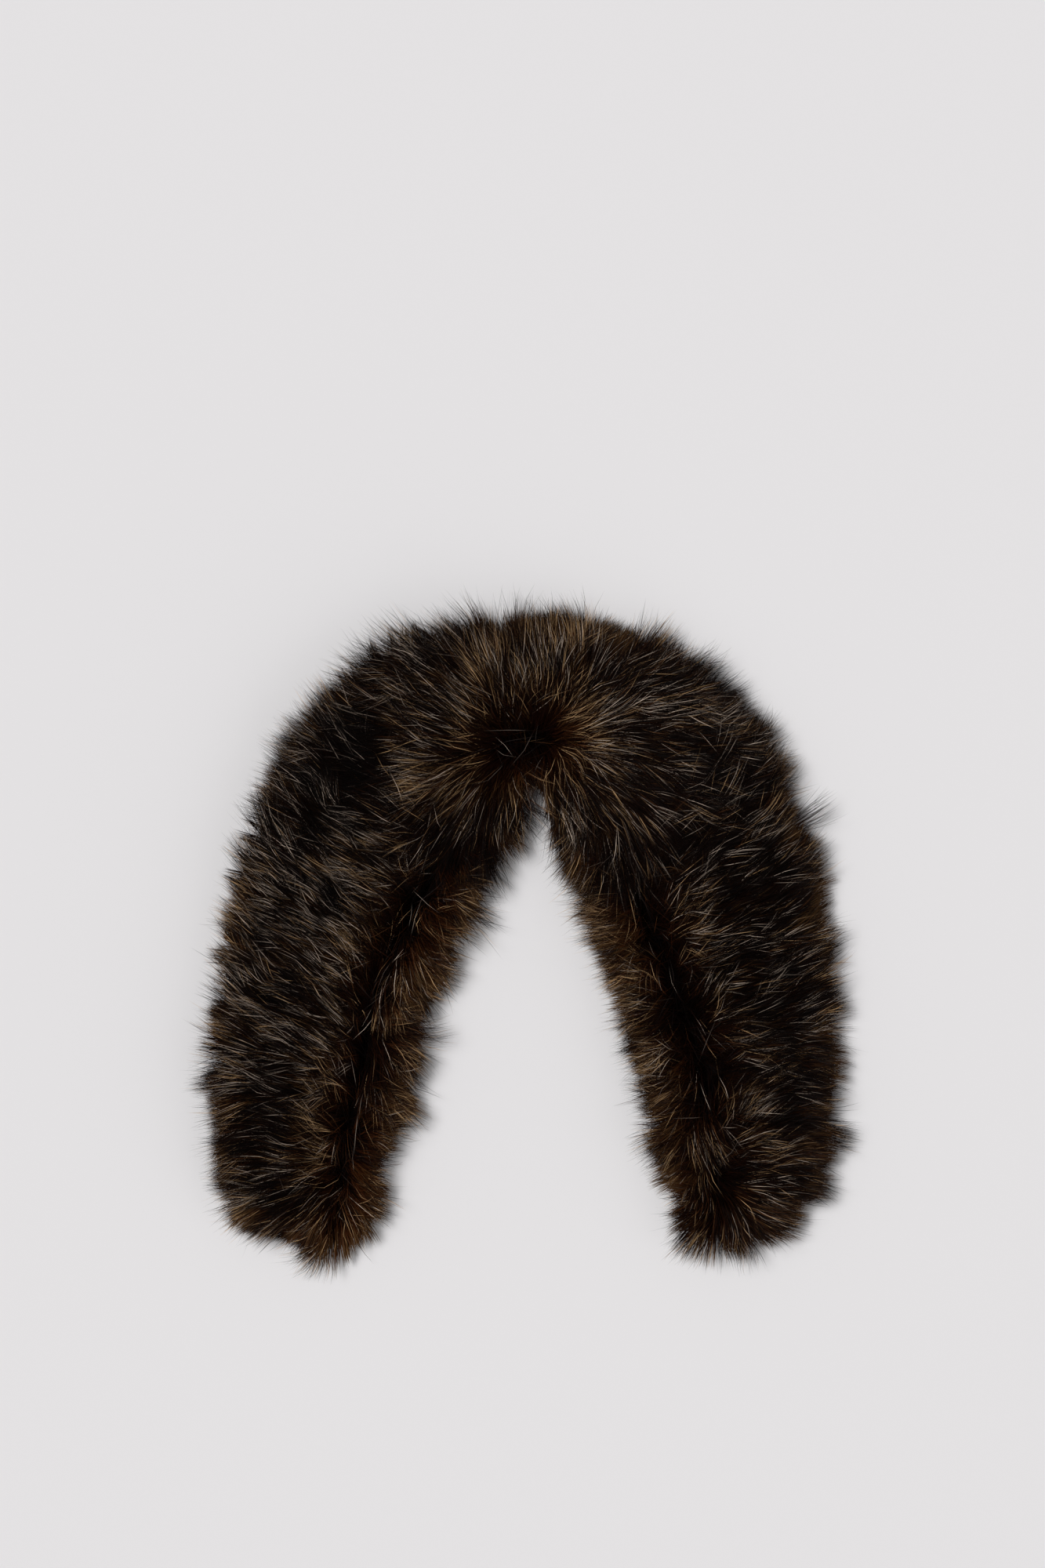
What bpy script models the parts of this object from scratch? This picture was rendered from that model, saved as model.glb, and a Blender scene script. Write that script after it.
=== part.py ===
"""A long-pile fur collar wrap, laid flat as a horseshoe with its neck gap towards -Y.

The collar is a flat tube of fur cloth. Its upper side is a back panel with a whorl in
it and, on each arm, a wide outer band and a narrow inner band that meet at a parting.
Its under side is a left and a right half, sewn at the centre back. Each solid holds the
cloth and the reach of its pile. Metres, +Z up, origin under the middle of the collar.
"""

from collections import namedtuple
from math import radians, sqrt

import bmesh
import bpy
from mathutils import Vector

MM = 0.001

SEAM_GAP = 0.4 * MM  # clear space between two pieces, measured along a section
UNDER_THICKNESS = 8 * MM  # the under side, its pile pressed flat by the weight
UPPER_BASE = UNDER_THICKNESS + SEAM_GAP
EDGE_THICKNESS = 6 * MM  # the upper side's pile where it thins out at the outline
UNDER_INSET = 7 * MM  # the upper pile overhangs the under side by this much

STEPS_PER_SECTION = 3  # rings from one section of the table to the next
STEPS_ACROSS = 7  # faces from an edge to the parting
RIDGE_SHARE = 0.5  # where the pile stands highest, as a share from the edge to the parting
SHARP_ANGLE = radians(50)  # the pile's crown shades smooth, its cut ends stay sharp

Section = namedtuple(
    "Section", "outer_x outer_y seam_x seam_y inner_x inner_y outer_rise seam_rise inner_rise"
)

# Millimetres. Each row is one section from the outer edge over the parting, or over the
# back panel's whorl, to the neck edge. The rises are heights of the pile over the surface.
SECTIONS = (
    #       outer edge    parting       neck edge     rises
    Section(-166, -235, -147, -239, -129, -235, 15, 15, 15),  # left end
    Section(-205, -221, -142, -226, -112, -222, 29, 21, 27),
    Section(-226, -197, -139, -206, -103, -202, 38, 23, 34),
    Section(-235, -150, -132, -150, -88, -148, 43, 24, 37),
    Section(-239, -95, -120, -101, -75, -104, 45, 25, 38),
    Section(-233, -33, -115, -63, -66, -68, 45, 25, 38),
    Section(-223, 27, -104, -25, -50, -27, 45, 25, 38),
    Section(-208, 83, -80, 19, -31, 14, 45, 26, 38),
    Section(-184, 137, -65, 49, -21, 36, 45, 30, 38),
    Section(-148, 182, -56, 71, -12, 52, 45, 33, 39),  # left end of the back panel
    Section(-103, 221, -40, 107, -3, 66, 45, 33, 39),
    Section(-45, 237, -19, 133, 5, 79, 45, 32, 39),
    Section(10, 241, -3, 143, 12, 87, 45, 31, 39),  # centre back, through the whorl
    Section(69, 236, 17, 135, 18, 79, 45, 32, 39),
    Section(126, 209, 46, 95, 23, 64, 45, 33, 39),
    Section(173, 163, 74, 57, 31, 45, 45, 33, 39),  # right end of the back panel
    Section(202, 118, 84, 31, 37, 25, 45, 30, 38),
    Section(220, 68, 95, 4, 46, -4, 45, 26, 38),
    Section(231, 10, 108, -28, 58, -31, 45, 25, 38),
    Section(236, -45, 121, -66, 70, -68, 45, 25, 38),
    Section(238, -98, 135, -104, 82, -105, 45, 25, 38),
    Section(235, -147, 138, -145, 91, -145, 43, 24, 37),
    Section(226, -187, 140, -188, 104, -185, 38, 23, 34),
    Section(206, -217, 143, -219, 117, -217, 29, 21, 27),
    Section(178, -234, 149, -237, 128, -234, 15, 15, 15),  # right end
)
LEFT_END, LEFT_JOIN, CENTRE_BACK, RIGHT_JOIN, RIGHT_END = 0, 9, 12, 15, 24
UNDER_SHORTER = 0.5  # the under side stops this share of a section short of each end

UPPER_FUR = ((0.030, 0.022, 0.016), 0.75)  # colour and roughness of the pile
PARTED_FUR = ((0.022, 0.014, 0.009), 0.80)
WHORL_FUR = ((0.040, 0.027, 0.018), 0.75)
UNDER_FUR = ((0.020, 0.014, 0.010), 0.85)


def between(before, first, second, after, share):
    """A smooth curve's value from first to second, with the two values beyond them."""
    return 0.5 * (
        2 * first
        + (second - before) * share
        + (2 * before - 5 * first + 4 * second - after) * share**2
        + (3 * first - before - 3 * second + after) * share**3
    )


def section_at(place):
    """The section, in metres, at a place counted in rows of the table, such as 4.5."""
    last = len(SECTIONS) - 1
    row = min(int(place), last - 1)
    near = [SECTIONS[min(max(row + step, 0), last)] for step in (-1, 0, 1, 2)]
    return Section(*(between(*values, place - row) * MM for values in zip(*near)))


def plan_points(place):
    """The outer edge, the parting and the neck edge of a section, seen from above."""
    section = section_at(place)
    return (
        Vector((section.outer_x, section.outer_y)),
        Vector((section.seam_x, section.seam_y)),
        Vector((section.inner_x, section.inner_y)),
    )


def outline_middle():
    """The middle of the collar's outline, which becomes the origin."""
    places = [step / STEPS_PER_SECTION for step in range(RIGHT_END * STEPS_PER_SECTION + 1)]
    edge = [point for place in places for point in plan_points(place)]
    xs = [point.x for point in edge]
    ys = [point.y for point in edge]
    return Vector((min(xs) + max(xs), min(ys) + max(ys))) / 2


MIDDLE = outline_middle()


def pile_height(share, ridge, parting):
    """Height of the pile at a share of the way from an edge to the parting."""
    edge = UPPER_BASE + EDGE_THICKNESS
    if share < RIDGE_SHARE:
        return edge + (ridge - edge) * sqrt(1 - (1 - share / RIDGE_SHARE) ** 2)
    down = (share - RIDGE_SHARE) / (1 - RIDGE_SHARE)
    return ridge + (parting - ridge) * down * down * (3 - 2 * down)


def half_section(edge, parting, ridge, seam_height, gap):
    """Points of the upper face from an edge to the parting, kept clear of it by the gap."""
    parting = parting + (edge - parting).normalized() * gap
    shares = [step / STEPS_ACROSS for step in range(STEPS_ACROSS + 1)]
    return [
        (*edge.lerp(parting, share), pile_height(share, ridge, seam_height)) for share in shares
    ]


def upper_section(place, halves):
    """The upper face of a section from its outer side to its neck side."""
    section = section_at(place)
    outer, parting, inner = plan_points(place)
    gap = SEAM_GAP / 2 if len(halves) == 1 else 0
    points = []
    if "outer" in halves:
        points = half_section(outer, parting, section.outer_rise, section.seam_rise, gap)
    if "inner" in halves:
        neck_side = half_section(inner, parting, section.inner_rise, section.seam_rise, gap)
        points = points[:-1] + neck_side[::-1] if points else neck_side[::-1]
    return points


def under_section(place):
    """The upper face of the under side, inset from both edges of the collar."""
    outer, parting, inner = plan_points(place)
    return [
        (*(outer + (parting - outer).normalized() * UNDER_INSET), UNDER_THICKNESS),
        (*parting, UNDER_THICKNESS),
        (*(inner + (parting - inner).normalized() * UNDER_INSET), UNDER_THICKNESS),
    ]


def clear_of_join(section_of, place, along):
    """A section moved along the collar by half a seam, away from the piece it is sewn to."""
    moved = []
    for back, here, ahead in zip(*(section_of(place + near) for near in (-0.01, 0, 0.01))):
        way = (Vector(ahead).xy - Vector(back).xy).normalized() * along * SEAM_GAP / 2
        moved.append((here[0] + way.x, here[1] + way.y, here[2]))
    return moved


def sections_between(section_of, start, end, joined_at):
    """Sections from start to end, with a seam's gap at each place in joined_at."""
    count = round((end - start) * STEPS_PER_SECTION)
    sections = [section_of(start + (end - start) * step / count) for step in range(count + 1)]
    if start in joined_at:
        sections[0] = clear_of_join(section_of, start, 1)
    if end in joined_at:
        sections[-1] = clear_of_join(section_of, end, -1)
    return sections


def solid_from(name, sections, base, corners, finish):
    """A closed solid over a flat base. Corners are the columns that reach down to the base."""
    mesh = bmesh.new()

    def vertex(point, height):
        return mesh.verts.new((point[0] - MIDDLE.x, point[1] - MIDDLE.y, height))

    top = [[vertex(point, point[2]) for point in section] for section in sections]
    bottom = [[vertex(section[column], base) for column in corners] for section in sections]
    spans = list(zip(range(len(corners)), corners, corners[1:]))
    for row in range(len(sections) - 1):
        for column in range(len(sections[0]) - 1):
            here, ahead = top[row], top[row + 1]
            mesh.faces.new((here[column], here[column + 1], ahead[column + 1], ahead[column]))
        for span, _, _ in spans:
            here, ahead = bottom[row], bottom[row + 1]
            mesh.faces.new((here[span], ahead[span], ahead[span + 1], here[span + 1]))
        for side in (0, -1):
            upper_edge = (top[row][side], top[row + 1][side])
            lower_edge = (bottom[row + 1][side], bottom[row][side])
            mesh.faces.new(upper_edge + lower_edge)
    for end in (0, -1):
        for span, first, last in spans:
            mesh.faces.new([*top[end][first : last + 1], bottom[end][span + 1], bottom[end][span]])
    bmesh.ops.recalc_face_normals(mesh, faces=mesh.faces)

    data = bpy.data.meshes.new(name)
    mesh.to_mesh(data)
    mesh.free()
    data.shade_smooth()
    data.set_sharp_from_angle(angle=SHARP_ANGLE)
    data.materials.append(fur_material(name, *finish))
    bpy.context.collection.objects.link(bpy.data.objects.new(name, data))


def fur_material(name, colour, roughness):
    material = bpy.data.materials.new(name + "_fur")
    material.use_nodes = True
    shader = material.node_tree.nodes["Principled BSDF"]
    shader.inputs["Base Color"].default_value = (*colour, 1)
    shader.inputs["Roughness"].default_value = roughness
    shader.inputs["Metallic"].default_value = 0
    return material


def upper_piece(name, halves, start, end, joined_at, finish):
    """One piece of the upper side: a band on an arm, or the panel at the back."""
    corners = [step * STEPS_ACROSS for step in range(len(halves) + 1)]
    sections = sections_between(
        lambda place: upper_section(place, halves), start, end, joined_at
    )
    solid_from(name, sections, UPPER_BASE, corners, finish)


def under_piece(name, start, end):
    """One half of the under side, flat on the surface, from an arm's end to centre back."""
    sections = sections_between(under_section, start, end, (CENTRE_BACK,))
    solid_from(name, sections, 0, (0, 1, 2), UNDER_FUR)


def build_collar():
    for old in list(bpy.data.objects):
        bpy.data.objects.remove(old)
    arms = {"left": (LEFT_END, LEFT_JOIN), "right": (RIGHT_JOIN, RIGHT_END)}
    joins = (LEFT_JOIN, RIGHT_JOIN)
    for side, (start, end) in arms.items():
        upper_piece("outer_band_" + side, ("outer",), start, end, joins, UPPER_FUR)
        upper_piece("inner_band_" + side, ("inner",), start, end, joins, PARTED_FUR)
    upper_piece("back_panel", ("outer", "inner"), LEFT_JOIN, RIGHT_JOIN, joins, WHORL_FUR)
    under_piece("under_half_left", UNDER_SHORTER, CENTRE_BACK)
    under_piece("under_half_right", CENTRE_BACK, RIGHT_END - UNDER_SHORTER)


build_collar()
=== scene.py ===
from math import pi, radians, tau

import bpy
import numpy as np
from mathutils.kdtree import KDTree
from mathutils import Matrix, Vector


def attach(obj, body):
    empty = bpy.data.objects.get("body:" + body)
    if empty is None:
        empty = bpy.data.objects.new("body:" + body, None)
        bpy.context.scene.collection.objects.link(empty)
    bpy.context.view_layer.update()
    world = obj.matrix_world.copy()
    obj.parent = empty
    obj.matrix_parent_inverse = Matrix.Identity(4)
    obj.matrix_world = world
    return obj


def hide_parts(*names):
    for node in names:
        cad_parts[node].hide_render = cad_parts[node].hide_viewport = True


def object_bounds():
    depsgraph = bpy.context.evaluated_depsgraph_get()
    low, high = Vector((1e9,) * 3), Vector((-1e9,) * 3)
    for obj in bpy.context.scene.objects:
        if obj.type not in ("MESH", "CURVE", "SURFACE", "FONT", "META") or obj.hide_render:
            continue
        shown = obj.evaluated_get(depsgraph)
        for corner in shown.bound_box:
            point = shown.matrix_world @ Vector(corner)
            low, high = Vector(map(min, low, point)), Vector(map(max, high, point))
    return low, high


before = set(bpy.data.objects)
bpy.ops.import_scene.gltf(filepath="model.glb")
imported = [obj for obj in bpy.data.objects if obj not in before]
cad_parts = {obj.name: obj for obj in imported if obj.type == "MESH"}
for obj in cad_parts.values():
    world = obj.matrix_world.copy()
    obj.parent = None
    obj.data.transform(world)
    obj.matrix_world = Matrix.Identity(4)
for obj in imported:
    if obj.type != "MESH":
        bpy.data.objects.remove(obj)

CAD_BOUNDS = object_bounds()


# ============================================================================ Under side
# The under side of the flat tube: two mirrored halves cut from the same knitted-back fur
# cloth as the upper side and sewn at the centre back. Their pile is pressed flat.

MM = 0.001

# One row for each section across the collar as it lies, from the left arm's end round the
# back to the right arm's end, in millimetres: x and y of the pile's outer edge, of the
# parting (or the back panel's middle line) and of the neck edge, then the pile's height over
# the outer side, the parting and the neck side.
LAY = MM * np.array([
    [-166, -235, -147, -239, -129, -235, 15, 15, 15],
    [-205, -221, -142, -226, -112, -222, 29, 21, 27],
    [-226, -197, -139, -206, -103, -202, 38, 23, 34],
    [-235, -150, -132, -150, -88, -148, 43, 24, 37],
    [-239, -95, -120, -101, -75, -104, 45, 25, 38],
    [-233, -33, -115, -63, -66, -68, 45, 25, 38],
    [-223, 27, -104, -25, -50, -27, 45, 25, 38],
    [-208, 83, -80, 19, -31, 14, 45, 26, 38],
    [-184, 137, -65, 49, -21, 36, 45, 30, 38],
    [-148, 182, -56, 71, -12, 52, 45, 33, 39],
    [-103, 221, -40, 107, -3, 66, 45, 33, 39],
    [-45, 237, -19, 133, 5, 79, 45, 32, 39],
    [10, 241, -3, 143, 12, 87, 45, 31, 39],
    [69, 236, 17, 135, 18, 79, 45, 32, 39],
    [126, 209, 46, 95, 23, 64, 45, 33, 39],
    [173, 163, 74, 57, 31, 45, 45, 33, 39],
    [202, 118, 84, 31, 37, 25, 45, 30, 38],
    [220, 68, 95, 4, 46, -4, 45, 26, 38],
    [231, 10, 108, -28, 58, -31, 45, 25, 38],
    [236, -45, 121, -66, 70, -68, 45, 25, 38],
    [238, -98, 135, -104, 82, -105, 45, 25, 38],
    [235, -147, 138, -145, 91, -145, 43, 24, 37],
    [226, -187, 140, -188, 104, -185, 38, 23, 34],
    [206, -217, 143, -219, 117, -217, 29, 21, 27],
    [178, -234, 149, -237, 128, -234, 15, 15, 15],
])
OUTER, PARTING, NECK = slice(0, 2), slice(2, 4), slice(4, 6)
OUTER_RISE, PARTING_RISE, NECK_RISE = 6, 7, 8
LEFT_END, LEFT_JOIN, CENTRE_BACK, RIGHT_JOIN, RIGHT_END = 0, 9, 12, 15, 24

CLOTH_THICKNESS = 1.5 * MM
CLOTH_INSET = 25 * MM  # the pile reaches this far past the sewn edge
INSET_SHARE = 0.5  # but the cloth keeps at least this share of the collar's width
END_INSET = 10 * MM  # more at the arms' ends, which are rounded off
END_PLACE = 0.95  # the cloth stops this far along the lay, counted in its rows
SEAM = 0.004  # half a seam, as a share of a row and of the cloth's width
UNDER_HEIGHT = 5.0 * MM
GRID_ALONG = 6  # faces of the cloth from one row of the lay to the next
GRID_ACROSS = 12  # faces from a sewn edge to the parting


def lay_at(places):
    """Rows of the lay at places between its rows, such as 4.5, on smooth curves."""
    last = len(LAY) - 1
    rows = np.minimum(places.astype(int), last - 1)
    share = (places - rows)[..., None]
    before, first, second, after = (
        LAY[np.clip(rows + step, 0, last)] for step in (-1, 0, 1, 2)
    )
    curve = 2 * first + (second - before) * share
    curve += (2 * before - 5 * first + 4 * second - after) * share**2
    curve += (3 * first - before - 3 * second + after) * share**3
    return curve / 2


def smooth(low, high, values):
    """0 up to low and 1 from high on, with a soft rise between them."""
    share = np.clip((values - low) / (high - low), 0, 1)
    return share * share * (3 - 2 * share)


def unit(vectors):
    return vectors / np.linalg.norm(vectors, axis=-1, keepdims=True)


# The origin is under the middle of the collar, as in the solids.
coarse_lay = lay_at(np.arange(3 * RIGHT_END + 1) / 3)[:, :6].reshape(-1, 2)
LAY[:, :6] -= np.tile((coarse_lay.min(0) + coarse_lay.max(0)) / 2, 3)
fine_lay = lay_at(np.arange(6 * RIGHT_END + 1) / 6)
OUTLINE = np.concatenate(
    [fine_lay[:, OUTER], fine_lay[-1:, PARTING], fine_lay[::-1, NECK], fine_lay[:1, PARTING]]
)


def distance_to(points, targets):
    """From each plan point to the nearest of the targets."""
    return np.linalg.norm(points[:, None, :] - targets[None, :, :], axis=2).min(1)


def inside_outline(points):
    """Whether plan points lie within the pile's outline: a line to +X crosses it oddly."""
    start, stop = OUTLINE, np.roll(OUTLINE, -1, axis=0)
    x, y = points[:, :1], points[:, 1:]
    spans = (start[:, 1] > y) != (stop[:, 1] > y)
    rise = np.where(start[:, 1] == stop[:, 1], 1, stop[:, 1] - start[:, 1])
    crossing = start[:, 0] + (y - start[:, 1]) / rise * (stop[:, 0] - start[:, 0])
    return (spans & (x < crossing)).sum(1) % 2 == 1


def bumps(plan, table, column=0):
    """The sum of rounded bumps over plan points. Each row of the table has a bump's x, y and
    reach in millimetres, then its amounts, of which column picks one."""
    total = np.zeros(len(plan))
    for x, y, reach, *amounts in table:
        distance = np.linalg.norm(plan - MM * np.array([x, y]), axis=1)
        total += amounts[column] * np.exp(-((distance / (reach * MM)) ** 2))
    return total


FARTHEST_ROOM = 90 * MM
ROOM_STEP = 2 * MM
EDGE_WANDER = 2.5 * MM  # how far the outline wanders in and out everywhere
EDGE_WAVES = 26 * MM
EDGE_SEED = 5
# Where the pile stands out past the outline or falls short of it: x, y, reach and how much.
UNEVEN_EDGE = (
    (-115, 218, 40, 18), (-128, 205, 18, 15), (-172, 160, 26, 20), (-60, 234, 24, 13),
    (-205, 88, 28, 14), (-218, 50, 36, 10), (-225, 14, 14, -5), (-230, -22, 20, 14),
    (-237, -88, 24, 14), (-236, -160, 20, 5), (-226, -202, 18, 13), (-153, -247, 12, 42),
    (-180, -234, 20, -8), (22, 241, 16, 3), (98, 227, 14, -8), (121, 214, 14, 15),
    (156, 193, 11, 52), (188, 154, 14, 18), (205, 118, 14, -10), (213, 92, 12, -18),
    (217, 72, 10, 8), (229, 34, 34, -6), (240, -46, 12, 8), (237, -70, 20, -4),
    (238, -125, 14, -5), (243, -150, 13, -20), (214, -209, 12, -12), (203, -226, 12, 14),
    (117, -226, 16, 23), (138, -240, 14, 16), (14, 83, 14, -34), (1, 73, 10, -12),
    (-12, 46, 16, -13), (-26, 18, 16, -5), (-46, -16, 16, -12), (-66, -74, 20, -17),
    (-78, -112, 16, -4), (-76, -140, 12, 8), (-94, -168, 24, -14), (-102, -206, 12, 2),
    (-122, -234, 12, -11), (23, 64, 10, -11), (40, 12, 10, -8), (64, -48, 10, -4),
    (66, -72, 14, 5), (78, -84, 16, 6), (92, -150, 20, 13), (104, -190, 10, -4),
)


def room_along(points, nap):
    """How far the pile can run from plan points along its nap before it meets the outline."""
    ways = np.arange(0, FARTHEST_ROOM, ROOM_STEP)
    outside = np.stack([~inside_outline(points + nap * way) for way in ways], axis=1)
    room = np.where(outside.any(1), ways[outside.argmax(1)], FARTHEST_ROOM)
    ends = points + nap * room[:, None]
    wander = EDGE_WANDER * sway(ends, EDGE_WAVES, np.random.default_rng(EDGE_SEED))
    return room + MM * bumps(ends, UNEVEN_EDGE) + wander


OUTWARD_SHARE = 0.7  # near the outline the nap runs outwards by about this share of its way
OUTWARD_TURN = 1.3  # how strongly it is turned to do so
OUTWARD_REACH = 25 * MM  # and how far inside the cloth's edge that fades out


class Cloth:
    """A piece of cloth on a grid, and what its pile has to know at each of its points."""

    def __init__(self, name, start, end, first, last, height):
        """From place start to end, and from first to last, where the outer edge is -1, the
        parting 0 and the neck edge 1. height gives the cloth's own height over the floor."""
        rows = round(abs(end - start) * GRID_ALONG) + 1
        columns = round((last - first) * GRID_ACROSS) + 1
        place, across = np.meshgrid(
            np.linspace(start, end, rows), np.linspace(first, last, columns), indexing="ij"
        )
        self.name, self.place, self.across = name, place.ravel(), across.ravel()
        self.lay = lay_at(self.place)
        self.share = 1 - abs(self.across)
        outer_side = self.across < 0
        edge = np.where(outer_side[:, None], self.lay[:, OUTER], self.lay[:, NECK])
        inward = self.lay[:, PARTING] - edge
        width = np.linalg.norm(inward, axis=1)
        from_end = np.minimum(self.place, RIGHT_END - self.place) - END_PLACE
        inset = CLOTH_INSET + END_INSET * (1 - smooth(0, 1, from_end))
        inset = np.minimum(inset, INSET_SHARE * width)
        sewn = edge + inward * (inset / width)[:, None]
        self.plan = sewn + (self.lay[:, PARTING] - sewn) * self.share[:, None]
        self.points = np.column_stack([self.plan, height(self)])
        corner = np.arange(rows * columns).reshape(rows, columns)
        self.faces = np.stack(
            [corner[:-1, :-1], corner[1:, :-1], corner[1:, 1:], corner[:-1, 1:]], axis=-1
        ).reshape(-1, 4)
        self.triangles = np.concatenate([self.faces[:, [0, 1, 2]], self.faces[:, [0, 2, 3]]])
        self.fields = {"at": self.points}

    def lay_nap(self, nap):
        """Lays the pile along a nap, turned outwards where it would run along the outline."""
        offset = OUTLINE[None, :, :] - self.plan[:, None, :]
        distance = np.linalg.norm(offset, axis=2)
        nearest_edge = distance.argmin(1)
        rows = np.arange(len(nap))
        outward = unit(offset[rows, nearest_edge])
        from_outline = distance[rows, nearest_edge]
        lack = OUTWARD_TURN * np.clip(OUTWARD_SHARE - (nap * outward).sum(1), 0, 1)
        lack *= 1 - smooth(CLOTH_INSET, CLOTH_INSET + OUTWARD_REACH, from_outline)
        nap = unit(nap + outward * lack[:, None])
        self.fields["nap"] = nap
        self.fields["room"] = room_along(self.plan, nap)

    def areas(self):
        """The area of each of its triangles."""
        corners = self.points[self.triangles]
        sides = corners[:, 1:] - corners[:, :1]
        return np.linalg.norm(np.cross(sides[:, 0], sides[:, 1]), axis=1) / 2

    def piece(self, finish):
        """The cloth as an object, with its thickness."""
        mesh = bpy.data.meshes.new(self.name)
        mesh.from_pydata(self.points.tolist(), [], self.faces.tolist())
        mesh.shade_smooth()
        mesh.materials.append(finish)
        piece = bpy.data.objects.new(self.name, mesh)
        bpy.context.collection.objects.link(piece)
        wall = piece.modifiers.new("wall", "SOLIDIFY")
        wall.thickness = CLOTH_THICKNESS
        wall.offset = 1
        return piece


class Value:
    """A number that varies over a surface. Sums and products of values add Math nodes."""

    def __init__(self, finish, socket):
        self.finish, self.socket = finish, socket

    def math(self, operation, *numbers):
        sockets = dict(enumerate(numbers))
        return self.finish.node("ShaderNodeMath", {"operation": operation}, sockets)

    def __add__(self, other):
        return self.math("ADD", self, other)

    def __radd__(self, other):
        return self.math("ADD", other, self)

    def __mul__(self, other):
        return self.math("MULTIPLY", self, other)

    def __rmul__(self, other):
        return self.math("MULTIPLY", other, self)

    def fraction(self):
        return self.math("FRACT", self)


class Finish:
    """A material while it is made."""

    def __init__(self, name, **constants):
        self.material = bpy.data.materials.new(name)
        self.material.use_nodes = True
        self.tree = self.material.node_tree
        self.shader = self.tree.nodes["Principled BSDF"]
        for socket, value in constants.items():
            self.shader.inputs[socket.replace("_", " ")].default_value = value

    def node(self, kind, settings, sockets, output=0):
        """Adds a node: its settings, then values or links for its sockets. Returns an output."""
        node = self.tree.nodes.new(kind)
        for setting, value in settings.items():
            setattr(node, setting, value)
        shown = [socket for socket in node.inputs if socket.enabled]
        for key, value in sockets.items():
            by_name = [socket for socket in shown if socket.name == key]
            self.set(by_name[0] if by_name else shown[key], value)
        return Value(self, [socket for socket in node.outputs if socket.enabled][output])

    def set(self, socket, value):
        if isinstance(value, Value):
            self.tree.links.new(value.socket, socket)
        else:
            socket.default_value = value

    def feed(self, socket, value):
        self.set(self.shader.inputs[socket], value)

    def mix(self, share, first, second):
        """A colour from first to second."""
        colours = {"Factor": share, "A": first, "B": second}
        return self.node("ShaderNodeMix", {"data_type": "RGBA"}, colours)

    def rise(self, value, low, high):
        """0 up to low and 1 from high on, with a soft rise between them."""
        limits = {"Value": value, "From Min": low, "From Max": high}
        return self.node("ShaderNodeMapRange", {"interpolation_type": "SMOOTHSTEP"}, limits)


def backing_finish():
    """Dark brown knitted backing: fine ribs of loops, a little uneven in colour."""
    backing = Finish("knitted_backing", Roughness=0.9, Specular_IOR_Level=0.03)
    place = backing.node("ShaderNodeTexCoord", {}, {}, output=3)
    ribs = backing.node(
        "ShaderNodeTexWave", {"bands_direction": "X"}, {"Vector": place, "Scale": 260.0}, output=1
    )
    patches = backing.node("ShaderNodeTexNoise", {}, {"Vector": place, "Scale": 90.0})
    colour = backing.mix(patches, (0.002, 0.001, 0.001, 1), (0.006, 0.003, 0.002, 1))
    backing.feed("Base Color", colour)
    bump = backing.node(
        "ShaderNodeBump", {}, {"Height": ribs + patches * 0.5, "Distance": 0.0004}
    )
    backing.feed("Normal", bump)
    return backing.material


BACKING = backing_finish()


PILE_ROUGHNESS = 0.5
GOLDEN_HALF = (0.499, 0.501)  # where the bake map goes over from smoky to golden hairs
MIDDLING_RISE = (0.0, 0.5)  # the paleness at which dark hairs have gone over to middling ones
PALEST_RISE = (0.45, 1.0)  # and middling ones to the palest


def pile_finish(name, root, smoky, golden, shaft_rise, band_rise, tip_rise, gloss):
    """The finish of a hair. From its root on, its colour goes over shaft and band to tip,
    each given for the darkest, a middling and the palest hair, once for smoky hairs and once
    for golden ones. The bake map holds the kind of hair across: smoky on the left half,
    golden on the right, each from dark to pale. Up the map runs the way from root to tip."""
    hair = Finish(name, Roughness=PILE_ROUGHNESS, Specular_IOR_Level=gloss)
    bake_map = hair.node("ShaderNodeUVMap", {"uv_map": "OFBake"}, {})
    across = hair.node("ShaderNodeSeparateXYZ", {}, {"Vector": bake_map}, output=0)
    along = hair.node("ShaderNodeSeparateXYZ", {}, {"Vector": bake_map}, output=1)
    is_golden = hair.rise(across, *GOLDEN_HALF)
    paleness = (across * 2.0).fraction()
    middling, palest = hair.rise(paleness, *MIDDLING_RISE), hair.rise(paleness, *PALEST_RISE)

    def shade(dark, middle, pale):
        return hair.mix(palest, hair.mix(middling, (*dark, 1), (*middle, 1)), (*pale, 1))

    colour = (*root, 1)
    for smoky_shades, golden_shades, (low, high) in zip(
        smoky, golden, (shaft_rise, band_rise, tip_rise)
    ):
        stretch = hair.mix(is_golden, shade(*smoky_shades), shade(*golden_shades))
        colour = hair.mix(hair.rise(along, low, high), colour, stretch)
    hair.feed("Base Color", colour)
    return hair.material


def scatter(cloth, count, rng):
    """Roots spread over a cloth, each with what the cloth's fields hold there."""
    areas = cloth.areas()
    picked = cloth.triangles[rng.choice(len(areas), count, p=areas / areas.sum())]
    first, second = rng.random((2, count))
    beyond = first + second > 1
    first[beyond], second[beyond] = 1 - first[beyond], 1 - second[beyond]
    weights = np.stack([1 - first - second, first, second], axis=1)
    return {
        field: np.einsum("nc,nc...->n...", weights, values[picked])
        for field, values in cloth.fields.items()
    }


def nearest(points, targets):
    """For each point, the number of the target nearest to it in plan."""
    tree = KDTree(len(targets))
    for number, (x, y) in enumerate(targets[:, :2].tolist()):
        tree.insert((x, y, 0), number)
    tree.balance()
    return np.array([tree.find((x, y, 0))[1] for x, y in points[:, :2].tolist()])


SWAY_WAVES = 7
SWAY_SPREAD = (0.7, 1.6)  # the waves' lengths, as shares of the one asked for
SWAY_HEIGHT = 1.6  # the waves seldom rise together, so their mean is raised by this


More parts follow.
